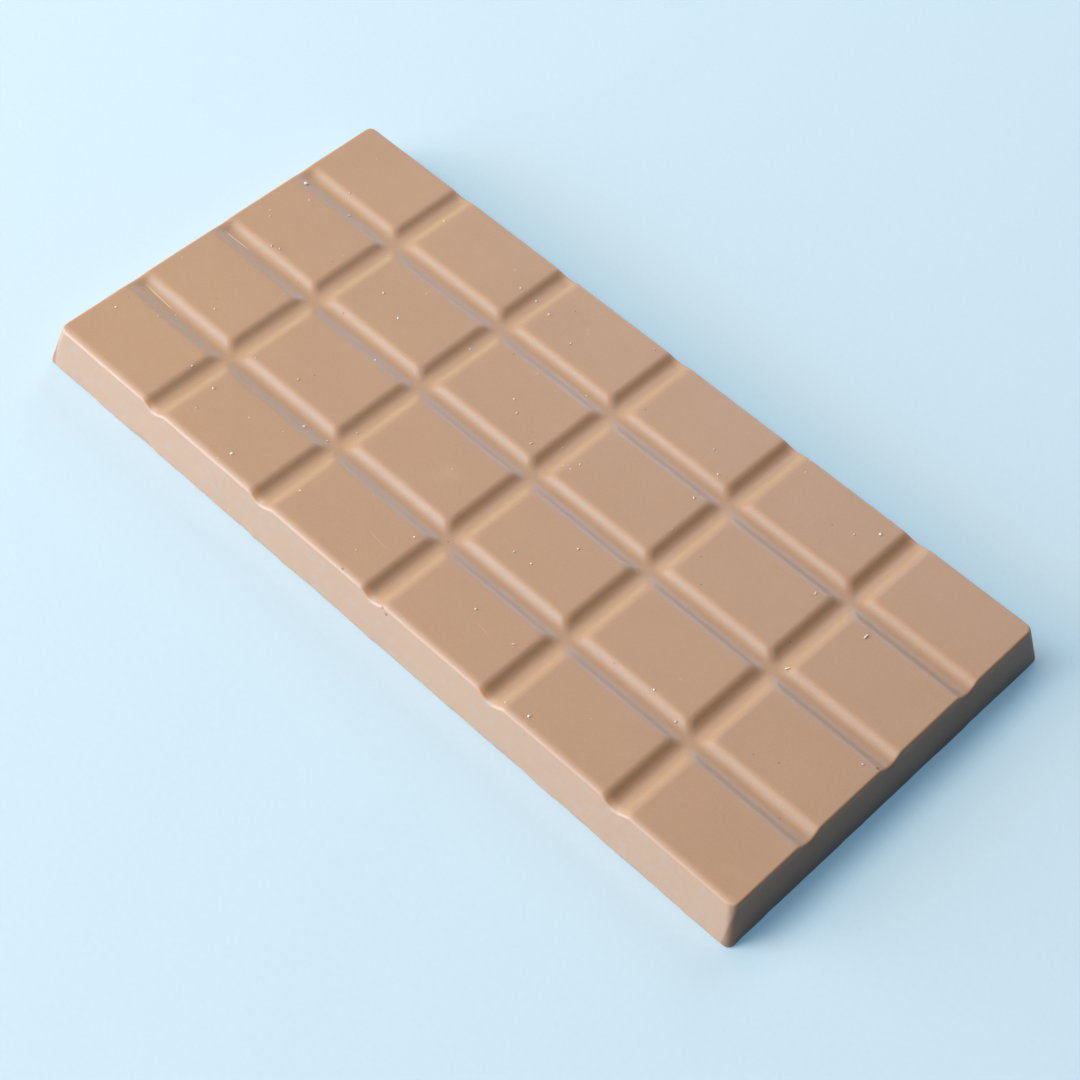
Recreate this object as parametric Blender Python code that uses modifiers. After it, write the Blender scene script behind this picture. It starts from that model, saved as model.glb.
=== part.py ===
"""A moulded milk chocolate bar, four squares wide and six squares long, lying flat with its squares up.

The whole bar is one solid: a shallow block whose walls lean in towards the top, with round upright corners,
and with five round-bottomed troughs across it and three along it that leave the 24 squares standing.

Metres, +Z up, +X along the bar. The origin is the middle of the flat underside.
"""

import math

import bmesh
import bpy

# Outer block
BASE_LENGTH = 0.1492
BASE_WIDTH = 0.0724
HEIGHT = 0.0080
LEAN = 0.0018  # how far each wall leans in from the underside to the top
CORNER_RADIUS = 0.0012  # upright corners
CORNER_SEGMENTS = 5
FOOT_RADIUS = 0.0003  # the edge all round the underside, which the mould leaves nearly sharp
FOOT_SEGMENTS = 2
RIM_RADIUS = 0.0010  # the edge all round the top
RIM_SEGMENTS = 3
RIM_ANGLE = math.radians(60)  # edges that turn more than this are the top's rim

# Squares and the troughs between them
SQUARES_ALONG = 6
SQUARES_ACROSS = 4
PITCH_ALONG = 0.0250  # centre to centre of the troughs that cross the bar
PITCH_ACROSS = 0.01831  # the same for the troughs that run along it
TROUGH_WIDTH = 0.0062
TROUGH_DEPTH = 0.0008
SHOULDER = 0.0016  # how much of the trough's width rounds over on each side
TROUGH_SEGMENTS = 16
CUTTER_RISE = 0.0020  # how far a cutter stands above the top
CUTTER_FLARE = 0.0004  # how far its sides stand out past the trough
CUTTER_OVERHANG = 0.0050  # how far it runs past each wall

# Milk chocolate
CHOCOLATE_COLOR = (0.39, 0.24, 0.15, 1.0)
CHOCOLATE_ROUGHNESS = 0.42


def new_collection(name):
    """A collection linked to the scene."""
    collection = bpy.data.collections.new(name)
    bpy.context.scene.collection.children.link(collection)
    return collection


def move_to(obj, collection):
    """Takes an object out of whatever collections hold it and puts it in one."""
    for holder in list(obj.users_collection):
        holder.objects.unlink(obj)
    collection.objects.link(obj)


def chocolate_material():
    """Plain satin milk chocolate."""
    material = bpy.data.materials.new("milk_chocolate")
    material.use_nodes = True
    shader = material.node_tree.nodes["Principled BSDF"]
    shader.inputs["Base Color"].default_value = CHOCOLATE_COLOR
    shader.inputs["Roughness"].default_value = CHOCOLATE_ROUGHNESS
    shader.inputs["Metallic"].default_value = 0.0
    material.diffuse_color = CHOCOLATE_COLOR
    material.roughness = CHOCOLATE_ROUGHNESS
    return material


def make_block(collection):
    """The block before the troughs: a box drawn in towards its top, with its upright corners rounded."""
    bpy.ops.mesh.primitive_cube_add(size=1, location=(0, 0, 0))
    block = bpy.context.object
    block.name = "chocolate_bar"
    block.data.name = "chocolate_bar"
    move_to(block, collection)

    mesh = bmesh.new()
    mesh.from_mesh(block.data)
    bmesh.ops.scale(mesh, vec=(BASE_LENGTH, BASE_WIDTH, HEIGHT), verts=mesh.verts)
    bmesh.ops.translate(mesh, vec=(0, 0, HEIGHT / 2), verts=mesh.verts)
    top = [vert for vert in mesh.verts if vert.co.z > HEIGHT / 2]
    drawn_in = (1 - 2 * LEAN / BASE_LENGTH, 1 - 2 * LEAN / BASE_WIDTH, 1)
    bmesh.ops.scale(mesh, vec=drawn_in, verts=top)
    upright = [edge for edge in mesh.edges if abs(edge.verts[0].co.z - edge.verts[1].co.z) > HEIGHT / 2]
    bmesh.ops.bevel(
        mesh,
        geom=upright,
        offset=CORNER_RADIUS,
        segments=CORNER_SEGMENTS,
        profile=0.5,
        affect="EDGES",
    )
    foot = [edge for edge in mesh.edges if max(corner.co.z for corner in edge.verts) < HEIGHT / 2]
    bmesh.ops.bevel(mesh, geom=foot, offset=FOOT_RADIUS, segments=FOOT_SEGMENTS, profile=0.5, affect="EDGES")
    mesh.to_mesh(block.data)
    mesh.free()
    return block


def trough_depth(across):
    """How far a trough lies below the squares at a distance from its centre line.

    Its bottom is round as far as the shoulders, where it is steepest, and the shoulders round over into the
    squares.
    """
    half = TROUGH_WIDTH / 2
    steepest = 2 * TROUGH_DEPTH / half
    round_bottom = half - SHOULDER
    if across < round_bottom:
        return steepest * (SHOULDER / 2 + (round_bottom**2 - across**2) / (2 * round_bottom))
    ease = (half - across) / SHOULDER
    return steepest * SHOULDER * (ease**3 - ease**4 / 2)


def trough_outline():
    """The outline of a trough's cutter, in (across, up) from the trough's centre line at the top's level."""
    half = TROUGH_WIDTH / 2
    points = []
    for i in range(TROUGH_SEGMENTS + 1):
        across = -half + TROUGH_WIDTH * i / TROUGH_SEGMENTS
        points.append((across, -trough_depth(abs(across))))
    # The first and last facets run on upwards, so that the cutter meets the top at an angle and not edge on.
    slope = -points[1][1] / (points[1][0] - points[0][0])
    points[0] = (-half - CUTTER_FLARE, slope * CUTTER_FLARE)
    points[-1] = (half + CUTTER_FLARE, slope * CUTTER_FLARE)
    points.append((half + CUTTER_FLARE, CUTTER_RISE))
    points.append((-half - CUTTER_FLARE, CUTTER_RISE))
    return points


def make_cutter(name, length, position, turn, collection):
    """The trough's outline drawn out to a length, centred on the position and turned about Z."""
    curve = bpy.data.curves.new(name, "CURVE")
    curve.dimensions = "2D"
    curve.fill_mode = "BOTH"
    curve.extrude = length / 2
    outline = trough_outline()
    spline = curve.splines.new("POLY")
    spline.points.add(len(outline) - 1)
    for point, (across, up) in zip(spline.points, outline):
        point.co = (across, up, 0, 1)
    spline.use_cyclic_u = True
    drawn = bpy.data.objects.new(name + "_outline", curve)
    drawn.location = position
    drawn.rotation_euler = (math.pi / 2, 0, turn)
    collection.objects.link(drawn)
    bpy.context.view_layer.update()

    evaluated = drawn.evaluated_get(bpy.context.evaluated_depsgraph_get())
    solid = bpy.data.meshes.new_from_object(evaluated)
    mesh = bmesh.new()
    mesh.from_mesh(solid)
    bmesh.ops.remove_doubles(mesh, verts=mesh.verts, dist=1e-6)
    bmesh.ops.recalc_face_normals(mesh, faces=mesh.faces)
    mesh.to_mesh(solid)
    mesh.free()
    cutter = bpy.data.objects.new(name, solid)
    cutter.matrix_world = drawn.matrix_world.copy()
    collection.objects.link(cutter)
    bpy.data.objects.remove(drawn)
    cutter.hide_render = True
    cutter.display_type = "WIRE"
    return cutter


def centre_lines(squares, pitch):
    """Where the troughs run: one between each square and the next, centred on the bar."""
    return [pitch * (i - squares / 2) for i in range(1, squares)]


def make_cutters(collection):
    """One cutter for each trough, the ones across the bar first."""
    cutters = []
    for number, x in enumerate(centre_lines(SQUARES_ALONG, PITCH_ALONG), 1):
        length = BASE_WIDTH + 2 * CUTTER_OVERHANG
        cutters.append(make_cutter(f"cross_trough_{number}", length, (x, 0, HEIGHT), 0, collection))
    for number, y in enumerate(centre_lines(SQUARES_ACROSS, PITCH_ACROSS), 1):
        length = BASE_LENGTH + 2 * CUTTER_OVERHANG
        cutters.append(make_cutter(f"long_trough_{number}", length, (0, y, HEIGHT), math.pi / 2, collection))
    return cutters


def cut_troughs(block, cutters):
    """Takes every trough out of the block."""
    for cutter in cutters:
        cut = block.modifiers.new(cutter.name, "BOOLEAN")
        cut.operation = "DIFFERENCE"
        cut.solver = "EXACT"
        cut.object = cutter


def round_rim(block):
    """Rounds the edge all round the top, down and up through the troughs' ends."""
    rim = block.modifiers.new("rim", "BEVEL")
    rim.width = RIM_RADIUS
    rim.segments = RIM_SEGMENTS
    rim.limit_method = "ANGLE"
    rim.angle_limit = RIM_ANGLE
    rim.use_clamp_overlap = False


def main():
    for obj in list(bpy.data.objects):
        bpy.data.objects.remove(obj, do_unlink=True)

    bar_parts = new_collection("chocolate bar")
    cutter_parts = new_collection("cutters")
    bar = make_block(bar_parts)
    cut_troughs(bar, make_cutters(cutter_parts))
    round_rim(bar)
    bar.data.materials.append(chocolate_material())
    bar.data.shade_smooth()


main()
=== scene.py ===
# %% [markdown]
# # A moulded bar of milk chocolate
# The bar is one piece of chocolate. It is cast upside down in a smooth tray of troughs and squares, chilled
# and knocked out, and here it lies flat with its squares up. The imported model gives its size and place, and
# the finer mesh that we model below stands in for it in every view.
#
# Everything is in metres, with X along the bar, Y across it and Z up out of the squares.

# %% Load the frame
import math
import random

import bmesh
import bpy
from mathutils import Matrix, Vector


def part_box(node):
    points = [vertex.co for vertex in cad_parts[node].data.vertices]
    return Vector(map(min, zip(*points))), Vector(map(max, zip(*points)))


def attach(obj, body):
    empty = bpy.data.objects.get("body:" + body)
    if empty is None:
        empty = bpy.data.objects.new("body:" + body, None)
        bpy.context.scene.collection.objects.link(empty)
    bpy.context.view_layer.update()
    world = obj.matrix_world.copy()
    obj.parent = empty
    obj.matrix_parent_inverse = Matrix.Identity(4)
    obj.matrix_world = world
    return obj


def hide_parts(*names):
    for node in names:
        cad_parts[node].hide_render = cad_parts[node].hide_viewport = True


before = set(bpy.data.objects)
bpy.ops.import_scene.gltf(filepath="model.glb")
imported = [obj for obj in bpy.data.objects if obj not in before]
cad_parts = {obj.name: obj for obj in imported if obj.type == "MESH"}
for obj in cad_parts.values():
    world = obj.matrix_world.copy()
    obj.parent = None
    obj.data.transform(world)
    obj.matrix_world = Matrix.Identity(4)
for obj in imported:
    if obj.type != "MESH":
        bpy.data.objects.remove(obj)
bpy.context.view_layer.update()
low, high = (Vector(corner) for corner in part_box("chocolate_bar"))
MM = 0.001
print("the packed bar measures", [round(side / MM, 1) for side in high - low], "mm")

# %% [markdown]
# ## Choosing parts of a mesh
# By hand we would click on faces and edges before each operator. In a script we choose them by where they
# are or which way they face. This helper drops the old choice first, because an operator acts on all that
# is selected.


# %% A helper that selects by place
def select_where(kind, test):
    """Edit mode: selects the vertices, edges or faces that pass the test, and nothing else."""
    bpy.ops.mesh.select_mode(type={"verts": "VERT", "edges": "EDGE", "faces": "FACE"}[kind])
    bpy.ops.mesh.select_all(action="DESELECT")
    data = bpy.context.edit_object.data
    mesh = bmesh.from_edit_mesh(data)
    chosen = [item for item in getattr(mesh, kind) if test(item)]
    for item in chosen:
        item.select_set(True)
    mesh.select_flush_mode()
    bmesh.update_edit_mesh(data, loop_triangles=False, destructive=False)
    return len(chosen)


# %% [markdown]
# ## The block
# A mould's walls lean outwards, so that the bar drops out. We start from a cube of the bar's full size,
# draw its top face in by the lean on every side, and round the four upright corners with a bevel. A
# truncated pyramid could also be extruded with a taper, but drawing the top in gives the lean as a plain
# size that we can check.

# %% Sizes of the block
BASE_LENGTH = 149.2 * MM
BASE_WIDTH = 72.4 * MM
HEIGHT = high.z
LEAN = 1.8 * MM  # how far each wall leans in from the underside to the top
CORNER_RADIUS = 1.2 * MM
TOP_LENGTH = BASE_LENGTH - 2 * LEAN
TOP_WIDTH = BASE_WIDTH - 2 * LEAN

# %% Model the block
bpy.ops.object.select_all(action="DESELECT")
full_size = (BASE_LENGTH, BASE_WIDTH, HEIGHT)
bpy.ops.mesh.primitive_cube_add(size=1, location=(0, 0, HEIGHT / 2), scale=full_size)
bar = bpy.context.object
bar.name = "chocolate"
bpy.ops.object.transform_apply(location=True, rotation=True, scale=True)
bpy.ops.object.mode_set(mode="EDIT")
select_where("faces", lambda face: face.normal.z > 0.9)
bpy.ops.transform.resize(value=(TOP_LENGTH / BASE_LENGTH, TOP_WIDTH / BASE_WIDTH, 1))
upright = select_where("edges", lambda edge: abs(edge.verts[0].co.z - edge.verts[1].co.z) > HEIGHT / 2)
bpy.ops.mesh.bevel(offset=CORNER_RADIUS, segments=5, affect="EDGES")
lean_angle = math.degrees(math.atan(LEAN / HEIGHT))
print(upright, "upright corners rounded, and the walls lean", round(lean_angle, 1), "degrees")

# %% [markdown]
# ## Rings inside the rim
# The squares droop a little towards the bar's front, over the last millimetre, before the wall drops away.
# Three insets of the top face give that droop its lines. An inset keeps to the rounded corners, where
# straight cuts would not.

# %% Inset the top
RING_WIDTHS = (0.5 * MM, 0.35 * MM, 0.3 * MM)  # from the rim inwards
select_where("faces", lambda face: face.normal.z > 0.9)
for width in RING_WIDTHS:
    bpy.ops.mesh.inset(thickness=width, depth=0)
print("the rings reach", round(sum(RING_WIDTHS) / MM, 2), "mm in from the rim")

# %% [markdown]
# ## Lines for the troughs
# Five troughs cross the bar and three run along it. Each one is a shallow round-bottomed wave, so the mesh
# needs closely spaced lines across it and only a few on the flat squares between. A bisect through the
# whole block draws each line. The walls get three level lines too, which keep them straight when the mesh
# is smoothed later.

# %% Where the troughs run
SQUARES_ALONG = 6
SQUARES_ACROSS = 4
PITCH_ALONG = 25.0 * MM
PITCH_ACROSS = 18.31 * MM


def centre_lines(squares, pitch):
    """Where the troughs' middle lines run between so many squares."""
    return [pitch * (i - squares / 2) for i in range(1, squares)]


cross_lines = centre_lines(SQUARES_ALONG, PITCH_ALONG)
long_lines = centre_lines(SQUARES_ACROSS, PITCH_ACROSS)
print("troughs across the bar at", [round(x / MM, 2) for x in cross_lines])
print("troughs along the bar at", [round(y / MM, 2) for y in long_lines])

# %% Where the block is cut
TROUGH_WIDTH = 6.2 * MM
STEPS = 9  # lines from a trough's middle to its edge
FLAT_LINES = (-0.93, -0.8, -0.4, 0, 0.4, 0.8, 0.93)  # on a square, as shares of half its flat
RIM_CLEAR = 1.3 * MM  # no line comes nearer than this to the rim, where the rings are


def stations(lines, pitch, reach):
    """Where the block is cut: evenly across each trough, and in a few places on the squares between."""
    places = []
    for line in lines:
        places += [line + TROUGH_WIDTH / 2 * step / STEPS for step in range(-STEPS, STEPS + 1)]
    flat = (pitch - TROUGH_WIDTH) / 2
    for middle in [lines[0] - pitch / 2] + [line + pitch / 2 for line in lines]:
        places += [middle + flat * part for part in FLAT_LINES]
    return sorted(place for place in places if abs(place) < reach - RIM_CLEAR)


cross_cuts = stations(cross_lines, PITCH_ALONG, TOP_LENGTH / 2)
long_cuts = stations(long_lines, PITCH_ACROSS, TOP_WIDTH / 2)
print(len(cross_cuts), "cuts across the bar and", len(long_cuts), "along it")

# %% Cut the lines
WALL_LEVELS = (0.2, 0.45, 0.7)  # as shares of the height


def cut_at(place, axis):
    """Edit mode: draws a line all round the mesh where it meets a plane across the axis."""
    bpy.ops.mesh.select_all(action="SELECT")
    bpy.ops.mesh.bisect(plane_co=tuple(place * a for a in axis), plane_no=axis)


for x in cross_cuts:
    cut_at(x, (1, 0, 0))
for y in long_cuts:
    cut_at(y, (0, 1, 0))
for part in WALL_LEVELS:
    cut_at(HEIGHT * part, (0, 0, 1))
print(len(bmesh.from_edit_mesh(bar.data).faces), "faces after the cuts")

# %% [markdown]
# ## Pressing the troughs in
# The trough's section has a round bottom and shoulders that round over into the squares, and where two
# troughs cross, the squares' corners are round in plan. Grooves could be cut out by eight long Boolean
# cutters, but their crossings would come out sharp. Instead a formula gives the depth at any place, the
# depth becomes a vertex weight, and a Displace modifier pushes every vertex down by its weight.

# %% The trough's section
TROUGH_DEPTH = 0.82 * MM
SHOULDER = 1.6 * MM  # how much of the width rounds over on each side


def trough_depth(across):
    """How far the surface lies below the squares at a distance from the trough's middle line."""
    half = TROUGH_WIDTH / 2
    steepest = 2 * TROUGH_DEPTH / half
    round_bottom = half - SHOULDER
    if across < round_bottom:
        return steepest * (SHOULDER / 2 + (round_bottom**2 - across**2) / (2 * round_bottom))
    ease = max(0, (half - across) / SHOULDER)
    return steepest * SHOULDER * (ease**3 - ease**4 / 2)


steepest_angle = math.degrees(math.atan(4 * TROUGH_DEPTH / TROUGH_WIDTH))
print("a trough's sides are", round(steepest_angle, 1), "degrees at their steepest")

# %% The depth anywhere on the bar
SQUARE_CORNER = 1.1 * MM  # the radius of a square's corners, seen from above


def off_trough(place):
    """How far a place lies from the nearest middle line, rounded where two troughs cross."""
    along = min(abs(place.x - line) for line in cross_lines)
    across = min(abs(place.y - line) for line in long_lines)
    gap = abs(along - across) / 2
    if gap > SQUARE_CORNER / 2:
        return min(along, across)
    return max(0, (along + across) / 2 - SQUARE_CORNER + math.sqrt(SQUARE_CORNER**2 / 2 - gap**2))


crossing = Vector((cross_lines[0], long_lines[0], HEIGHT))
crossing_depth = trough_depth(off_trough(crossing))
print("where two troughs cross, the bottom is", round(crossing_depth / MM, 2), "mm down")

# %% [markdown]
# ## Uneven depth
# The bar isn't cast quite evenly. Its troughs are a little deeper towards the right end, and they fade
# where they run out at the left end and the back, while at the front they cut right through the rim. Each
# of these is one factor in the depth, so each can be changed alone.

# %% The share of the full depth
DEEPER_RIGHT = 0.11  # how much deeper than the mean at the right end, and shallower at the left
MEAN_SHARE = 0.96
LEFT_END = 0.25  # the share left at the left end's rim
LEFT_FADE = 2.8 * MM  # how far in from there the fading starts
BACK_END = 0.7  # the same at the back
BACK_FADE = 1.0 * MM


def smooth_step(value, start, end):
    """0 before the start, 1 after the end and a smooth rise between."""
    share = min(1, max(0, (value - start) / (end - start)))
    return share * share * (3 - 2 * share)


def trough_share(place):
    """The share of its full depth that a trough has at a place."""
    share = MEAN_SHARE + DEEPER_RIGHT * place.x / (TOP_LENGTH / 2)
    share *= LEFT_END + (1 - LEFT_END) * smooth_step(place.x + TOP_LENGTH / 2, 0, LEFT_FADE)
    share *= BACK_END + (1 - BACK_END) * smooth_step(TOP_WIDTH / 2 - place.y, 0, BACK_FADE)
    return share


for x in cross_lines:
    share = trough_share(Vector((x, 0, HEIGHT)))
    print("the trough at", round(x / MM), "mm has", round(share, 2), "of its full depth")

# %% How far each place is pressed down
PRESSED = HEIGHT * 0.8  # only what lies above this is pressed
RIM_DROOP = 0.28 * MM  # how far the front of the squares sinks at the rim
RIM_SHOULDER = 1.2 * MM  # and how far in from there it starts
DEEPEST = TROUGH_DEPTH * (MEAN_SHARE + DEEPER_RIGHT) + RIM_DROOP


def sunk(place):
    """How far the surface lies below the middle of a square, as a share of the most that it does."""
    if place.z < PRESSED:
        return 0
    droop = RIM_DROOP * max(0, 1 - (place.y + TOP_WIDTH / 2) / RIM_SHOULDER) ** 2
    return (trough_depth(off_trough(place)) * trough_share(place) + droop) / DEEPEST


print("no place goes down by more than", round(DEEPEST / MM, 2), "mm")


# %% A helper that pushes vertices by weight
def push(name, direction, strength, weight, texture=None):
    """Displaces the bar, each vertex by its own weight, and by a texture where one is given."""
    group = bar.vertex_groups.new(name=name)
    for vert in bar.data.vertices:
        group.add([vert.index], weight(vert.co), "REPLACE")
    displace = bar.modifiers.new(name, "DISPLACE")
    displace.vertex_group = name
    displace.direction = direction
    displace.strength = strength
    displace.mid_level = 0.5 if texture else 0
    displace.texture = texture
    displace.texture_coords = "LOCAL"
    bpy.ops.object.modifier_apply(modifier=name)
    bar.vertex_groups.remove(bar.vertex_groups[name])


# %% Press them in
# At the rim the vertices also move outwards, so that the troughs' ends stay on the leaning walls.
bpy.ops.object.mode_set(mode="OBJECT")
NEAR = 0.01 * MM  # places this near to each other count as one
END_RIM = TOP_LENGTH / 2 - NEAR
SIDE_RIM = TOP_WIDTH / 2 - NEAR
outwards = DEEPEST * LEAN / HEIGHT
push("right end", "X", outwards, lambda place: sunk(place) * (place.x > END_RIM))
push("left end", "X", -outwards, lambda place: sunk(place) * (place.x < -END_RIM))
push("back side", "Y", outwards, lambda place: sunk(place) * (place.y > SIDE_RIM))
push("front side", "Y", -outwards, lambda place: sunk(place) * (place.y < -SIDE_RIM))
push("troughs", "Z", -DEEPEST, sunk)
lowest = min(vert.co.z for vert in bar.data.vertices if vert.co.z > PRESSED)
print("the lowest place on top is", round((HEIGHT - lowest) / MM, 2), "mm down")

# %% [markdown]
# ## Rims
# The bar's upper rim is rounded, up and down through the troughs' ends, and the rim of the underside is
# nearly sharp, because that was the open top of the mould. Two bevels do this, the edges found by the angle
# between their faces.

# %% Round the rims
RIM_RADIUS = 0.3 * MM
RIM_ANGLE = math.radians(40)
FOOT_RADIUS = 0.3 * MM


def is_rim(edge):
    """An edge where the surface turns sharply."""
    return len(edge.link_faces) == 2 and edge.calc_face_angle() > RIM_ANGLE


def is_upper(edge):
    """An edge near the top, not near the foot."""
    return edge.verts[0].co.z > HEIGHT / 2


bpy.ops.object.mode_set(mode="EDIT")
upper = select_where("edges", lambda edge: is_rim(edge) and is_upper(edge))
bpy.ops.mesh.bevel(offset=RIM_RADIUS, segments=3, profile=0.5, affect="EDGES", clamp_overlap=False)
foot = select_where("edges", lambda edge: is_rim(edge) and not is_upper(edge))
bpy.ops.mesh.bevel(offset=FOOT_RADIUS, segments=2, affect="EDGES", clamp_overlap=False)
bpy.ops.object.mode_set(mode="OBJECT")
print(upper, "upper rim edges and", foot, "foot edges rounded")

# %% [markdown]
# ## Smoothing, and the unevenness of a cast thing
# One level of subdivision turns the steps of the troughs into smooth curves. Then two Displace modifiers
# make the surface uneven. A slow swell moves it by a few hundredths of a millimetre all over, as chocolate
# shrinks while it cools. A finer ripple moves the foot of the walls by nearly two tenths, where the bar met
# the open top of the mould, and by half as much at the ends.

# %% Subdivide
finer = bar.modifiers.new("finer", "SUBSURF")
finer.levels = 1
finer.render_levels = 1
bpy.ops.object.modifier_apply(modifier=finer.name)
print(len(bar.data.polygons), "faces after the smoothing")

# %% Swell and ripple
SWELL = 0.10 * MM  # from the lowest to the highest
SWELL_SIZE = 16 * MM  # from one rise to the next
RIPPLE = 0.34 * MM
RIPPLE_SIZE = 3 * MM
RIPPLE_LEVEL = 0.2 * MM  # the height where the ripple is strongest
RIPPLE_FADE = 2 * MM  # how far from there it fades out
END_REACH = 2 * MM  # how far from the top's ends the ripple starts to halve
FOOT_KEPT = 0.5 * MM  # the height up to which the swell leaves the walls alone


def clouds(name, grain):
    """A soft noise for a Displace modifier."""
    texture = bpy.data.textures.new(name, "CLOUDS")
    texture.noise_scale = grain
    texture.noise_depth = 1
    return texture


def above_foot(place):
    """0 up to the height that is kept, and 1 from a millimetre higher."""
    return min(1, max(0, (place.z - FOOT_KEPT) / MM))


def low_wall(place):
    """1 near the foot of the side walls, half of that at the end walls, and 0 higher up."""
    at_end = smooth_step(abs(place.x), TOP_LENGTH / 2 - END_REACH, TOP_LENGTH / 2)
    at_foot = max(0, 1 - abs(place.z - RIPPLE_LEVEL) / RIPPLE_FADE)
    return (1 - 0.5 * at_end) * at_foot * (place.z > NEAR)


push("swell", "NORMAL", SWELL, above_foot, clouds("slow clouds", SWELL_SIZE))
push("ripple", "NORMAL", RIPPLE, low_wall, clouds("small clouds", RIPPLE_SIZE))
bpy.ops.object.mode_set(mode="EDIT")
below = select_where("verts", lambda vert: vert.co.z < 0)
bpy.ops.transform.resize(value=(1, 1, 0), center_override=(0, 0, 0))
print(below, "places had sunk below the floor, and are level with it again")

# %% [markdown]
# ## The underside
# The cuts ran right through the block, so the flat underside is divided as finely as the top. Dissolved
# into one face it keeps its shape and its outline, and the whole mesh gets more than a third lighter.

# %% Merge the underside
LEVEL = 0.001 * MM  # what lies lower than this lies on the floor
select_where("faces", lambda face: face.normal.z < -0.9 and all(vert.co.z < LEVEL for vert in face.verts))
bpy.ops.mesh.dissolve_faces()
bpy.ops.object.mode_set(mode="OBJECT")
bpy.ops.object.shade_smooth()
print(len(bar.data.polygons), "faces on the bar")
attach(bar, "root")
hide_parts("chocolate_bar")

# %% [markdown]
# ## Crumbs
# A few dozen pale crumbs, an eighth to three quarters of a millimetre across, lie on the squares and in the
# troughs, more of them towards the left end. A particle system could scatter them, but it leaves no mesh of
# its own. So one crumb is modelled from a small ball, squashed and roughened, and copied to places where a
# ray sent straight down meets the bar. They are joined into one piece, because they all have the same
# finish.


# %% A helper that finds the surface
def bar_surface(x, y):
    """Where a line straight down at (x, y) meets the bar."""
    met, place = bar.ray_cast(Vector((x, y, 2 * HEIGHT)), Vector((0, 0, -1)))[:2]
    return place if met else None


square_middle = bar_surface(PITCH_ALONG / 2, PITCH_ACROSS / 2)
print("the middle of a square is", round(square_middle.z / MM, 2), "mm high")


# %% Helpers that copy and join
def copies(model, placings):
    """A copy of the model with its own mesh for each (place, turn, size), in place of the model."""
    made = []
    for place, turn, size in placings:
        copy = model.copy()
        copy.data = model.data.copy()
        copy.location = place
        copy.rotation_euler = (0, 0, turn)
        copy.scale = (size, size, size)
        bpy.context.scene.collection.objects.link(copy)
        made.append(copy)
    bpy.data.objects.remove(model)
    return made


def joined(pieces, name):
    """Joins the pieces into one, with its place in its mesh."""
    bpy.ops.object.select_all(action="DESELECT")
    for piece in pieces:
        piece.select_set(True)
    bpy.context.view_layer.objects.active = pieces[0]
    bpy.ops.object.join()
    bpy.ops.object.transform_apply(location=True, rotation=True, scale=True)
    pieces[0].name = name
    return pieces[0]


# %% Model one crumb
CRUMB = 0.5 * MM
CRUMB_CHANCE = 0.08 * MM  # how far its corners are moved by chance
CRUMB_SHAPE = (1.15, 0.85, 0.6)  # a little longer than wide, and flat
bpy.ops.object.select_all(action="DESELECT")
bpy.ops.mesh.primitive_ico_sphere_add(subdivisions=2, radius=CRUMB / 2)
crumb = bpy.context.object
bpy.ops.object.mode_set(mode="EDIT")
bpy.ops.mesh.select_all(action="SELECT")
bpy.ops.transform.vertex_random(offset=CRUMB_CHANCE, uniform=1, normal=0, seed=3)
bpy.ops.transform.resize(value=CRUMB_SHAPE)
bpy.ops.object.mode_set(mode="OBJECT")
bpy.ops.object.shade_smooth()
print("one crumb has", len(crumb.data.polygons), "faces")

# %% Scatter the crumbs
# The largest are (x, y) in millimetres, then their size.
LARGEST = [
    (-31.3, -19.4, 1.0),
    (-34.6, -31.5, 1.1),
    (-25.2, 26.8, 0.9),
    (45.3, 31.0, 1.0),
    (-70.2, 16.8, 1.5),
    (-46.5, -24.9, 0.9),
    (-60.0, 17.2, 0.9),
    (-21.3, 25.8, 0.8),
    (31.1, -32.5, 1.0),
    (-38.8, -13.8, 0.8),
]
CRUMB_COUNT = 75  # in all; the others are smaller, and most of them small
chance = random.Random(11)
placings = []
for x, y, size in LARGEST:
    placings.append((bar_surface(x * MM, y * MM), chance.uniform(0, math.tau), size))
while len(placings) < CRUMB_COUNT:
    x = chance.uniform(-0.5, 0.5) * TOP_LENGTH
    y = chance.uniform(-0.5, 0.5) * TOP_WIDTH
    place = bar_surface(x, y)
    share_kept = 0.45 - 0.35 * x / (TOP_LENGTH / 2)
    if place and chance.random() < share_kept:
        placings.append((place, chance.uniform(0, math.tau), chance.uniform(0.4, 0.9) ** 1.5))
crumbs = joined(copies(crumb, placings), "crumbs")
print(len(placings), "crumbs,", len(crumbs.data.polygons), "faces")
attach(crumbs, "root")

# %% [markdown]
# ## Flakes
# Five longer flakes, thin shavings up to a millimetre long, lie here and there, most of them near the right
# end. One is modelled from a cube: it is stretched thin, cut into four along its length, its middle is
# raised, so that it curls as a shaving does, and its ends are narrowed.

# %% Model one flake
FLAKE_LENGTH = 1.0 * MM
FLAKE_WIDTH = 0.26 * MM
FLAKE_THICKNESS = 0.09 * MM
FLAKE_RISE = 0.08 * MM
bpy.ops.object.select_all(action="DESELECT")
bpy.ops.mesh.primitive_cube_add(size=1, scale=(FLAKE_LENGTH, FLAKE_WIDTH, FLAKE_THICKNESS))
flake = bpy.context.object
bpy.ops.object.transform_apply(location=False, rotation=False, scale=True)
bpy.ops.object.mode_set(mode="EDIT")
for part in (-0.25, 0, 0.25):
    cut_at(FLAKE_LENGTH * part, (1, 0, 0))
select_where("verts", lambda vert: abs(vert.co.x) < 0.3 * FLAKE_LENGTH)
bpy.ops.transform.translate(value=(0, 0, FLAKE_RISE))
select_where("verts", lambda vert: abs(vert.co.x) > 0.4 * FLAKE_LENGTH)
bpy.ops.transform.resize(value=(1, 0.5, 0.6))
bpy.ops.mesh.select_all(action="SELECT")
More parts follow.
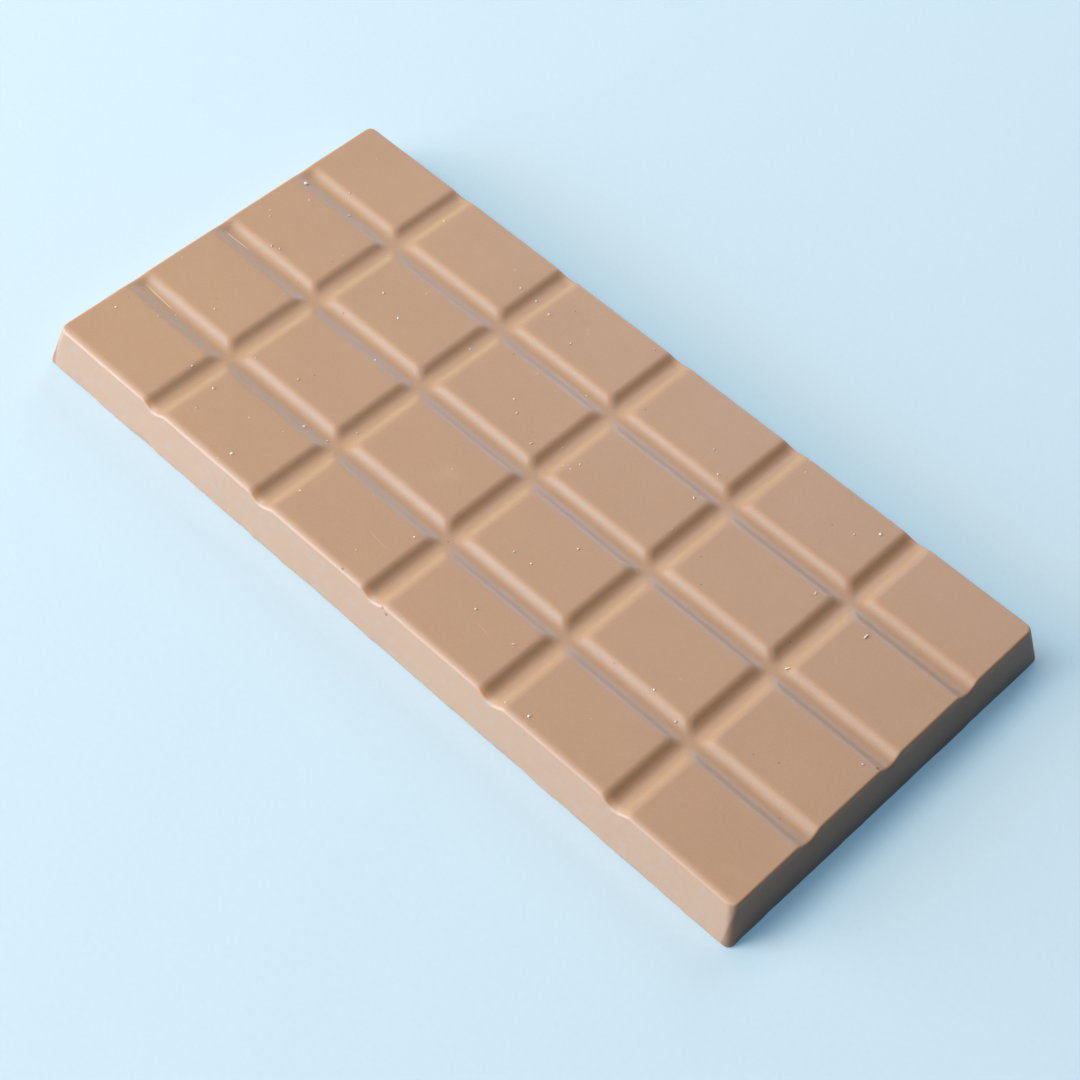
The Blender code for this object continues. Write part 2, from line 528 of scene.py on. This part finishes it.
bpy.ops.mesh.bevel(offset=0.02 * MM, segments=1, affect="EDGES")
bpy.ops.object.mode_set(mode="OBJECT")
bpy.ops.object.shade_smooth()
print("one flake has", len(flake.data.polygons), "faces")

# %% Place the flakes
# Each is (x, y) in millimetres, then its turn in degrees and its size.
FLAKES = [
    (56.1, 14.5, 89, 1.1),
    (51.6, 1.8, 53, 1.0),
    (45.6, 15.0, 110, 0.7),
    (20.7, -25.1, 30, 0.7),
    (-4.3, 4.2, 75, 0.6),
]
lift = Vector((0, 0, FLAKE_THICKNESS / 2))
placings = []
for x, y, turn, size in FLAKES:
    placings.append((bar_surface(x * MM, y * MM) + lift, math.radians(turn), size))
flakes = joined(copies(flake, placings), "flakes")
print(len(placings), "flakes,", len(flakes.data.polygons), "faces")
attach(flakes, "root")

# %% [markdown]
# ## Shader maths as Python
# A finish is a graph of nodes, and a long one is hard to follow when every node is wired by hand. This
# small class wraps a node's output, so that a * b + 1 in Python adds the Math nodes that do it.


# %% A class for shader maths
class Field:
    """A value that varies over a surface: one output of a node, with Python's operators."""

    def __init__(self, finish, socket):
        self.finish = finish
        self.socket = socket

    def math(self, operation, *values):
        return self.finish.node("ShaderNodeMath", {"operation": operation}, dict(enumerate(values)))

    def __add__(self, other):
        return self.math("ADD", self, other)

    def __sub__(self, other):
        return self.math("SUBTRACT", self, other)

    def __rsub__(self, other):
        return self.math("SUBTRACT", other, self)

    def __mul__(self, other):
        return self.math("MULTIPLY", self, other)

    def __abs__(self):
        return self.math("ABSOLUTE", self)

    __radd__ = __add__
    __rmul__ = __mul__

    def rise(self, start, end):
        """0 at the start value and 1 at the end value, which may be the lower one, and smooth between."""
        sockets = {"Value": self, "From Min": start, "From Max": end}
        return self.finish.node("ShaderNodeMapRange", {"interpolation_type": "SMOOTHSTEP"}, sockets)


# %% A class for a finish
class Finish:
    """A material with one Principled shader, and the methods that add nodes to it."""

    def __init__(self, name):
        self.material = bpy.data.materials.new(name)
        self.material.use_nodes = True
        self.tree = self.material.node_tree
        self.shader = self.tree.nodes["Principled BSDF"]
        self.place = self.node("ShaderNodeTexCoord", {}, {}, "Object")

    def node(self, kind, settings, sockets, output=0):
        """Adds a node, with its settings first and then a value or a link for each of its sockets."""
        node = self.tree.nodes.new(kind)
        for name, value in settings.items():
            setattr(node, name, value)
        for name, value in sockets.items():
            self.feed(node.inputs[name], value)
        return Field(self, node.outputs[output])

    def feed(self, socket, value):
        if isinstance(value, Field):
            self.tree.links.new(value.socket, socket)
        else:
            socket.default_value = value

    def wear(self, sockets):
        """Sets the shader's own sockets by name."""
        for name, value in sockets.items():
            self.feed(self.shader.inputs[name], value)

    def noise(self, grain, detail=1):
        """Soft clouds from 0 to 1, about a grain apart."""
        sockets = {"Vector": self.place, "Scale": 1 / grain, "Detail": detail}
        return self.node("ShaderNodeTexNoise", {}, sockets)

    def mix(self, share, first, second):
        """The first colour, going over to the second by the share."""
        return self.node("ShaderNodeMix", {"data_type": "RGBA"}, {0: share, 6: first, 7: second}, 2)

    def dots(self, spacing, radius, share):
        """1 in small round dots about a spacing apart, of which only a share are there."""
        cells = {"Vector": self.place, "Scale": 1 / spacing}
        distance = self.node("ShaderNodeTexVoronoi", {}, cells, "Distance")
        cell_color = self.node("ShaderNodeTexVoronoi", {}, cells, "Color")
        luck = self.node("ShaderNodeSeparateColor", {}, {0: cell_color})
        return distance.rise(radius / spacing, 0.6 * radius / spacing) * luck.math("LESS_THAN", luck, share)

    def vectors(self, operation, first, second, output=0):
        """Vector Math, which has a new vector at output 0 and a distance or a dot product at 1."""
        return self.node("ShaderNodeVectorMath", {"operation": operation}, {0: first, 1: second}, output)

    def near(self, x, y, z, radius):
        """1 at a place and 0 beyond a radius from it."""
        return self.vectors("DISTANCE", self.place, (x, y, z), 1).rise(radius, 0)

    def line(self, x, y, length, turn, width):
        """1 along a thin straight line on the squares, with its middle at (x, y)."""
        heading = (math.cos(turn), math.sin(turn), 0)
        sideways = (-math.sin(turn), math.cos(turn), 0)
        from_middle = self.vectors("SUBTRACT", self.place, (x, y, 0))
        along = self.vectors("DOT_PRODUCT", from_middle, heading, 1)
        across = self.vectors("DOT_PRODUCT", from_middle, sideways, 1)
        return abs(along).rise(length / 2, length / 4) * abs(across).rise(width / 2, 0)


# %% [markdown]
# ## The chocolate's finish
# Bare milk chocolate has a satin skin that copies the mould. Up close it isn't one brown: it is faintly
# cloudy, and it has a very fine grain of sugar and cocoa. Two noises do this, one wide and one fine, each
# mixing two near browns.

# %% The browns
chocolate = Finish("milk chocolate")
MILK_BROWN = (0.408, 0.214, 0.118, 1)
DEEPER_BROWN = (0.3981, 0.2065, 0.1132, 1)
PALER_BROWN = (0.442, 0.245, 0.144, 1)
CLOUD_SIZE = 14 * MM
GRAIN_SIZE = 0.35 * MM
clouding = chocolate.noise(CLOUD_SIZE, 2)
grain = chocolate.noise(GRAIN_SIZE)
color = chocolate.mix(clouding.rise(0.3, 0.7), DEEPER_BROWN, MILK_BROWN)
color = chocolate.mix(grain.rise(0.35, 0.75) * 0.35, color, PALER_BROWN)
print("clouds", round(CLOUD_SIZE / MM), "mm apart, and a grain of", round(GRAIN_SIZE / MM, 2), "mm")

# %% [markdown]
# ## The walls
# The side walls rubbed against the mould as the bar came out, so they are a shade paler and blotchy, from
# just inside the rim; their grey-blue tint is painted sheen, for the blue floor's reflection. The end walls
# are painted darker, as painted shade. Where a trough runs out at the front, its shaded side is painted
# warmer over the last millimetre, a painted glow for light that shines through the thin chocolate there.

# %% Colour of the walls
# Side walls: a paler rubbed skin, and a painted sheen whose grey-blue tint stands for the blue floor's
# reflection
WALL_BROWN_AND_SHEEN = (0.370, 0.255, 0.187, 1)
# Painted shade: the end walls are darkened, though they are the same chocolate
END_SHADE_BROWN = (0.280, 0.145, 0.080, 1)
WALL_START = 0.25 * MM  # how far inside the top's edge a side wall's colour begins
WALL_FULL = 0.35 * MM  # how far outside it the colour is full
BLOTCH_SIZE = 1.6 * MM
along = abs(chocolate.node("ShaderNodeSeparateXYZ", {}, {0: chocolate.place}, "X"))
across = abs(chocolate.node("ShaderNodeSeparateXYZ", {}, {0: chocolate.place}, "Y"))
# The side walls' colour starts inside the rim, so the painted sheen also cools the rim's painted highlight
side_wear_and_sheen = across.rise(TOP_WIDTH / 2 - WALL_START, TOP_WIDTH / 2 + WALL_FULL)
# Painted shade on both end walls
painted_end_shade = along.rise(TOP_LENGTH / 2, TOP_LENGTH / 2 + WALL_FULL)
blotches = chocolate.noise(BLOTCH_SIZE, 3).rise(0.45, 0.75)
color = chocolate.mix(side_wear_and_sheen * (0.4 + 0.4 * blotches), color, WALL_BROWN_AND_SHEEN)
color = chocolate.mix(painted_end_shade, color, END_SHADE_BROWN)
print("a wall's colour comes in over", round((WALL_START + WALL_FULL) / MM, 2), "mm at the sides")

# %% Painted glow where a trough runs out
# Painted glow: a warmer colour that stands for light shining through the thin chocolate at the troughs' front
# ends
PAINTED_GLOW_BROWN = (0.560, 0.250, 0.090, 1)
GLOW_REACH = 1.4 * MM
GLOW_DEPTH = 0.5 * MM  # the glow's middle lies this far in from the front rim and below the top
for x in cross_lines:
    painted_glow_middle = (x - GLOW_REACH, -TOP_WIDTH / 2 + GLOW_DEPTH, HEIGHT - GLOW_DEPTH)
    painted_glow = chocolate.near(*painted_glow_middle, GLOW_REACH)
    color = chocolate.mix(0.45 * painted_glow, color, PAINTED_GLOW_BROWN)
print(len(cross_lines), "places at the front where light glows through")

# %% [markdown]
# ## Bloom and scratches
# One soft smudge of bloom, the pale fat that comes out as chocolate ages, lies on a square near the middle,
# with fainter patches of it all over. Four hair-thin scratches show pale, two on the squares and two in the
# long troughs.

# %% Bloom
SMUDGE = (-8.9 * MM, -9.6 * MM, HEIGHT)
SMUDGE_RADIUS = 3.4 * MM
smudge = chocolate.near(*SMUDGE, SMUDGE_RADIUS) * chocolate.noise(2 * MM, 3).rise(0.3, 0.7)
faint_bloom = chocolate.noise(6 * MM, 3).rise(0.6, 0.8)
color = chocolate.mix(smudge * 0.7 + faint_bloom * 0.25, color, PALER_BROWN)
print("the smudge is", round(2 * SMUDGE_RADIUS / MM, 1), "mm across")

# %% Scratches
DUST = (0.72, 0.56, 0.44, 1)  # also the colour of scraped chocolate
# Each is its middle, length and width in millimetres, its turn in degrees and its strength.
SCRATCHES = [
    (-6.9, -26.5, 5.0, 0.18, -7, 0.25),
    (15.5, -26.5, 4.0, 0.16, -12, 0.2),
    (-67.5, -18.1, 8.0, 0.2, -3, 0.8),
    (-68.5, -0.4, 6.0, 0.2, 2, 1.0),
]
scratches = sum(
    strength * chocolate.line(x * MM, y * MM, length * MM, math.radians(turn), width * MM)
    for x, y, length, width, turn, strength in SCRATCHES
)
color = chocolate.mix(scratches, color, DUST)
print(len(SCRATCHES), "scratches")

# %% [markdown]
# ## Pinholes and dust
# Small bubbles of air leave pinholes, and their dark colour is painted shade for their insides. Most are
# scattered by chance and too fine to model. The four that stand out are placed one by one: three at the
# front rim and one at the right end.

# %% Pinholes and dust
# Painted shade: this dark colour stands for the shade inside the pinholes
PINHOLE_SHADE = (0.20, 0.10, 0.06, 1)
# Each is (x, y, z) and its radius, in millimetres.
LARGE_PINHOLES = [
    (2.3, -34.5, 7.5, 0.45),
    (3.3, -34.7, 6.9, 0.45),
    (-6.8, -34.0, 7.8, 0.3),
    (72.2, -2.1, 7.8, 0.5),
]
PINHOLE_SPACING = 3.2 * MM
DUST_SPACING = 2.6 * MM
pinholes = chocolate.dots(PINHOLE_SPACING, radius=0.16 * MM, share=0.25)
for x, y, z, radius in LARGE_PINHOLES:
    pinholes = pinholes + chocolate.near(x * MM, y * MM, z * MM, radius * MM).rise(0.2, 0.6)
dust = chocolate.dots(DUST_SPACING, radius=0.10 * MM, share=0.2)
color = chocolate.mix(pinholes * 0.95, color, PINHOLE_SHADE)
color = chocolate.mix(dust * 0.45, color, DUST)
print(len(LARGE_PINHOLES), "large pinholes, and small ones by chance")

# %% [markdown]
# ## Gloss and relief
# The skin's gloss wanders a little from place to place, and it is duller in the scratches. Its relief is
# only a few hundredths of a millimetre: the grain, faint dimples and the pinholes' dents. Light also sinks
# in and comes out a little way off, red the furthest, so a share of the shader is subsurface with a longer
# reach for red.

# %% Gloss and relief
RELIEF = 0.02 * MM
satin = 0.40 + 0.08 * (chocolate.noise(5 * MM, 2) - 0.5) + 0.05 * grain + 0.1 * scratches
relief = 0.5 * grain + 0.5 * chocolate.noise(1.2 * MM, 2) - 2 * pinholes - 0.5 * scratches
bump = chocolate.node("ShaderNodeBump", {}, {"Height": relief, "Distance": RELIEF, "Strength": 1})
chocolate.wear({
    "Base Color": color,
    "Roughness": satin,
    "Normal": bump,
    "Subsurface Weight": 0.3,
    "Subsurface Scale": 3 * MM,
    "Subsurface Radius": (0.6, 0.3, 0.15),
})
bar.data.materials.clear()
bar.data.materials.append(chocolate.material)
print(len(chocolate.tree.nodes), "nodes in the chocolate's finish")

# %% [markdown]
# ## The crumbs' finish
# The crumbs and flakes are the same chocolate, broken, so they are paler and rougher than the moulded skin.
# One noise gives each of them lighter and darker faces.

# %% Crumb finish
crumbly = Finish("broken chocolate")
BROKEN_BROWN = (0.50, 0.34, 0.23, 1)
BROKEN_PALE = (0.76, 0.61, 0.49, 1)
shade = crumbly.noise(0.2 * MM, 2).rise(0.3, 0.7)
color = crumbly.mix(shade, BROKEN_BROWN, BROKEN_PALE)
crumbly.wear({"Base Color": color, "Roughness": 0.55 + 0.2 * shade})
for piece in (crumbs, flakes):
    piece.data.materials.clear()
    piece.data.materials.append(crumbly.material)
print(len(crumbly.tree.nodes), "nodes in the crumbs' finish")

# %% [markdown]
# ## The floor
# The bar lies on plain pale blue paper, which is a single large face with a fibre so faint that it hardly
# shows. The paper lets some light through from below, so its shadows stay blue. A little emission stands
# for that light.

# %% Floor
FLOOR_SIZE = 4  # in metres
PAPER = (0.440, 0.425, 0.402, 1)
PAPER_FIBRE = (0.470, 0.453, 0.430, 1)
PAPER_GLOW = (0.092, 0.205, 0.302, 1)
bpy.ops.object.select_all(action="DESELECT")
bpy.ops.mesh.primitive_plane_add(size=FLOOR_SIZE, location=(0, 0, 0))
floor = bpy.context.object
floor.name = "floor"
paper = Finish("pale blue paper")
fibre = paper.noise(0.9 * MM, 2)
paper.wear({
    "Base Color": paper.mix(fibre, PAPER, PAPER_FIBRE),
    "Roughness": 0.88 + 0.04 * fibre,
    "Specular IOR Level": 0.2,
    "Emission Color": PAPER_GLOW,
    "Emission Strength": 1,
})
floor.data.materials.append(paper.material)
print("the floor is", round(floor.dimensions.x, 1), "m wide")

# %% [markdown]
# ## The camera
# The camera looks down on the bar from the front right, from a little under forty centimetres away, with a
# long lens and a slight roll. Its place comes from turning it about the target and then backing it away
# along its own axis.

# %% Camera
AZIMUTH = math.radians(39.28)
ELEVATION = math.radians(53.08)
ROLL = math.radians(6.13)
DISTANCE = 0.3877
TARGET = Vector((0.00797, -0.00611, HEIGHT / 2))
camera_data = bpy.data.cameras.new("camera")
camera_data.lens = 83.35
camera_data.sensor_width = 36
camera_data.clip_start = 0.01
camera = bpy.data.objects.new("camera", camera_data)
bpy.context.scene.collection.objects.link(camera)
aim = Matrix.Rotation(AZIMUTH, 4, "Z") @ Matrix.Rotation(math.pi / 2 - ELEVATION, 4, "X")
roll = Matrix.Rotation(ROLL, 4, "Z")
camera.matrix_world = Matrix.Translation(TARGET) @ aim @ roll @ Matrix.Translation((0, 0, DISTANCE))
bpy.context.scene.camera = camera
print("the camera is at", [round(c, 3) for c in camera.matrix_world.translation])

# %% [markdown]
# ## The light
# All the light is soft. A wide low window at the front left lights the front wall, and two higher lamps
# over it light the squares and gleam on the long troughs' sides. Dim lamps at the left and behind tint the
# sides that face them, and a large one overhead softens the shadows. Each lamp stands on a sphere around
# the bar and faces its middle.

# %% A dark room
world = bpy.data.worlds.new("dark room")
world.use_nodes = True
world.node_tree.nodes["Background"].inputs["Strength"].default_value = 0
bpy.context.scene.world = world
bpy.context.scene.view_settings.view_transform = "Standard"
print("the background gives no light, so only the lamps and the paper do")

# %% Lamps
LAMP_DISTANCE = 1.5  # in metres


def soft_light(name, azimuth, elevation, width, height, power, color):
    """A lamp at an angle around the bar, from its front towards the right, and an angle up."""
    data = bpy.data.lights.new(name, "AREA")
    data.shape = "ELLIPSE"
    data.size = width
    data.size_y = height
    data.energy = power
    data.color = color
    lamp = bpy.data.objects.new(name, data)
    bpy.context.scene.collection.objects.link(lamp)
    around, up = math.radians(azimuth), math.radians(elevation)
    level = math.cos(up)
    place = LAMP_DISTANCE * Vector((math.sin(around) * level, -math.cos(around) * level, math.sin(up)))
    facing = place.to_track_quat("Z", "Y").to_matrix().to_4x4()
    lamp.matrix_world = Matrix.Translation(place) @ facing


# Each has its two angles in degrees, its width and height in metres, its power in watts and its colour.
soft_light("window low", -38, 12, 1.9, 0.65, 36, (0.79, 1.04, 1.40))
soft_light("window middle", -40, 32, 0.8, 0.8, 11.5, (1.08, 0.80, 0.45))
soft_light("window high", -51, 54, 0.8, 0.8, 13.9, (0.62, 1.11, 1.32))
soft_light("ceiling", -105, 55, 0.8, 0.8, 3, (1.60, 1.10, 0.60))
soft_light("overhead", -100, 72, 1.5, 1.5, 2.6, (1.30, 0.85, 1.10))
soft_light("end low", -118, 10, 0.8, 0.8, 2.2, (0.10, 1.00, 0.80))
soft_light("back low", -157, 12, 0.8, 0.8, 5.5, (0.62, 0.80, 1.20))
soft_light("back high", -157, 36, 0.8, 0.8, 6.6, (0.75, 0.96, 1.12))
print(len(bpy.data.lights), "lamps")
